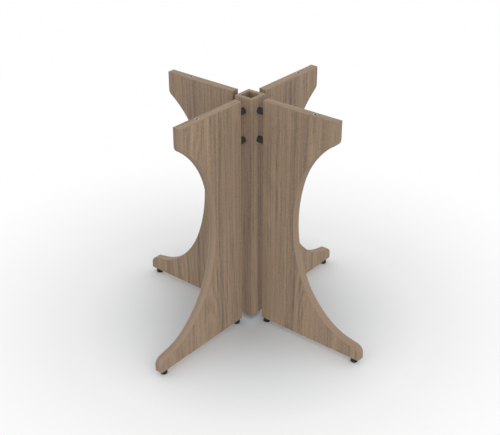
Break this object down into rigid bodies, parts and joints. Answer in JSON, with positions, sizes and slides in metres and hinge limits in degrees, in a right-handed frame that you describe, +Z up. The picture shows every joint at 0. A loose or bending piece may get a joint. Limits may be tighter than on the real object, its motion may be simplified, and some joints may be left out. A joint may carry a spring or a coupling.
{
  "type": "pedestal table base",
  "caption": "Round-table pedestal base: curved wood-grain panel legs in a cross round a hollow square post, on black levelling glides, open at the top for cables.",
  "frame": {"origin": "on the floor, on the axis of the post", "axes": "+Z up; the legs lie along +X, +Y, -X and -Y; the picture looks from between the -X and the -Y leg"},
  "size_m": [0.833, 0.833, 0.739],
  "materials": {
    "laminate": "matte wood-grain laminate, grey-brown with vertical streaks",
    "edge_band": "matte wood-grain edge band, lighter, grain along the edge",
    "black_nylon": "moulded black nylon, satin",
    "black_steel": "black powder coat, fine texture",
    "zinc_steel": "bright zinc plating"
  },
  "bodies": {
    "base": {"right_leg_panel": "laminate", "right_leg_outer_band": "edge_band", "right_leg_inner_band": "edge_band", "right_leg_top_band": "edge_band", "right_post_board": "laminate", "right_lower_spacer_sleeve": "black_steel", "right_upper_spacer_sleeve": "black_steel", "back_leg_panel": "laminate", "back_leg_outer_band": "edge_band", "back_leg_inner_band": "edge_band", "back_leg_top_band": "edge_band", "back_post_board": "laminate", "back_lower_spacer_sleeve": "black_steel", "back_upper_spacer_sleeve": "black_steel", "left_leg_panel": "laminate", "left_leg_outer_band": "edge_band", "left_leg_inner_band": "edge_band", "left_leg_top_band": "edge_band", "left_post_board": "laminate", "left_lower_spacer_sleeve": "black_steel", "left_upper_spacer_sleeve": "black_steel", "front_leg_panel": "laminate", "front_leg_outer_band": "edge_band", "front_leg_inner_band": "edge_band", "front_leg_top_band": "edge_band", "front_post_board": "laminate", "front_lower_spacer_sleeve": "black_steel", "front_upper_spacer_sleeve": "black_steel", "glide_inserts": "zinc_steel", "top_fixing_inserts": "zinc_steel", "tie_inserts": "zinc_steel", "tie_studs": "zinc_steel", "tie_cap_nuts": "zinc_steel"},
    "right_toe_glide": {"right_toe_glide_foot": "black_nylon", "right_toe_glide_stem": "zinc_steel"},
    "right_inner_glide": {"right_inner_glide_foot": "black_nylon", "right_inner_glide_stem": "zinc_steel"},
    "back_toe_glide": {"back_toe_glide_foot": "black_nylon", "back_toe_glide_stem": "zinc_steel"},
    "back_inner_glide": {"back_inner_glide_foot": "black_nylon", "back_inner_glide_stem": "zinc_steel"},
    "left_toe_glide": {"left_toe_glide_foot": "black_nylon", "left_toe_glide_stem": "zinc_steel"},
    "left_inner_glide": {"left_inner_glide_foot": "black_nylon", "left_inner_glide_stem": "zinc_steel"},
    "front_toe_glide": {"front_toe_glide_foot": "black_nylon", "front_toe_glide_stem": "zinc_steel"},
    "front_inner_glide": {"front_inner_glide_foot": "black_nylon", "front_inner_glide_stem": "zinc_steel"}
  },
  "joints": [
    {"name": "right_toe_glide_travel", "type": "slide", "parent": "base", "child": "right_toe_glide", "axis": [0, 0, -1], "range_m": [0, 0.012]},
    {"name": "right_inner_glide_travel", "type": "slide", "parent": "base", "child": "right_inner_glide", "axis": [0, 0, -1], "range_m": [0, 0.012]},
    {"name": "back_toe_glide_travel", "type": "slide", "parent": "base", "child": "back_toe_glide", "axis": [0, 0, -1], "range_m": [0, 0.012]},
    {"name": "back_inner_glide_travel", "type": "slide", "parent": "base", "child": "back_inner_glide", "axis": [0, 0, -1], "range_m": [0, 0.012]},
    {"name": "left_toe_glide_travel", "type": "slide", "parent": "base", "child": "left_toe_glide", "axis": [0, 0, -1], "range_m": [0, 0.012]},
    {"name": "left_inner_glide_travel", "type": "slide", "parent": "base", "child": "left_inner_glide", "axis": [0, 0, -1], "range_m": [0, 0.012]},
    {"name": "front_toe_glide_travel", "type": "slide", "parent": "base", "child": "front_toe_glide", "axis": [0, 0, -1], "range_m": [0, 0.012]},
    {"name": "front_inner_glide_travel", "type": "slide", "parent": "base", "child": "front_inner_glide", "axis": [0, 0, -1], "range_m": [0, 0.012]}
  ]
}
